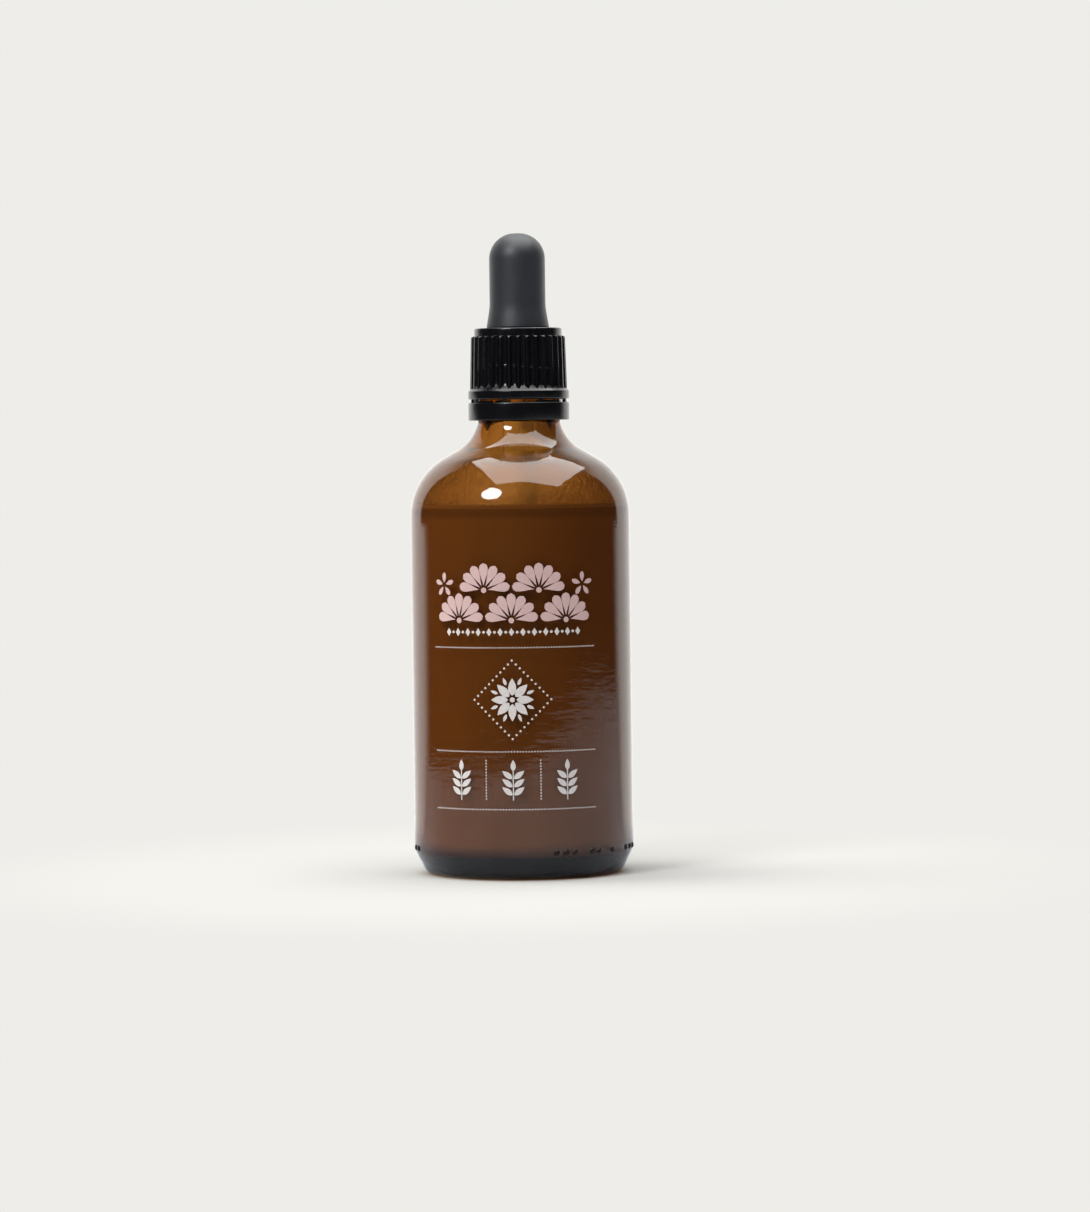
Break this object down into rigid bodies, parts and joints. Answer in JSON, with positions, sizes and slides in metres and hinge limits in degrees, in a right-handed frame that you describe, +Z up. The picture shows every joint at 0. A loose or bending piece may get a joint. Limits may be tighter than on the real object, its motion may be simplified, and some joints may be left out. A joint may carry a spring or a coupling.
{
  "type": "dropper bottle",
  "caption": "Round amber glass bottle with sloped shoulders, a ribbed screw cap with a breakaway band, a rubber squeeze bulb and a glass pipette that reaches to the bottom.",
  "frame": {"origin": "the middle of the bottle's foot, on the surface that it stands on", "axes": "+Z up along the bottle's axis, towards the bulb; -Y is the side that faces the camera"},
  "size_m": [0.0468, 0.0468, 0.1361],
  "materials": {
    "amber_glass": "polished amber glass",
    "clear_glass": "polished clear glass",
    "black_plastic": "moulded, half gloss",
    "black_rubber": "matte, moulded"
  },
  "bodies": {
    "bottle": {"bottle": "amber_glass"},
    "ring": {"tamper_ring": "black_plastic"},
    "dropper": {"pipette": "clear_glass"},
    "cap": {"screw_cap": "black_plastic"},
    "teat": {"bulb": "black_rubber"}
  },
  "joints": [
    {"name": "ring_spin", "type": "hinge", "parent": "bottle", "child": "ring", "pos_m": [0, 0, 0.0982], "axis": [0, 0, 1], "continuous": true},
    {"name": "dropper_lift", "type": "slide", "parent": "bottle", "child": "dropper", "axis": [0, 0, 1], "range_m": [0, 0.105]},
    {"name": "cap_turn", "type": "hinge", "parent": "dropper", "child": "cap", "pos_m": [0, 0, 0.108], "axis": [0, 0, 1], "range_deg": [0, 720]},
    {"name": "bulb_press", "type": "slide", "parent": "dropper", "child": "teat", "axis": [0, 0, -1], "range_m": [0, 0.005], "stiffness_N_per_m": 600, "deforming": ["bulb"]}
  ]
}
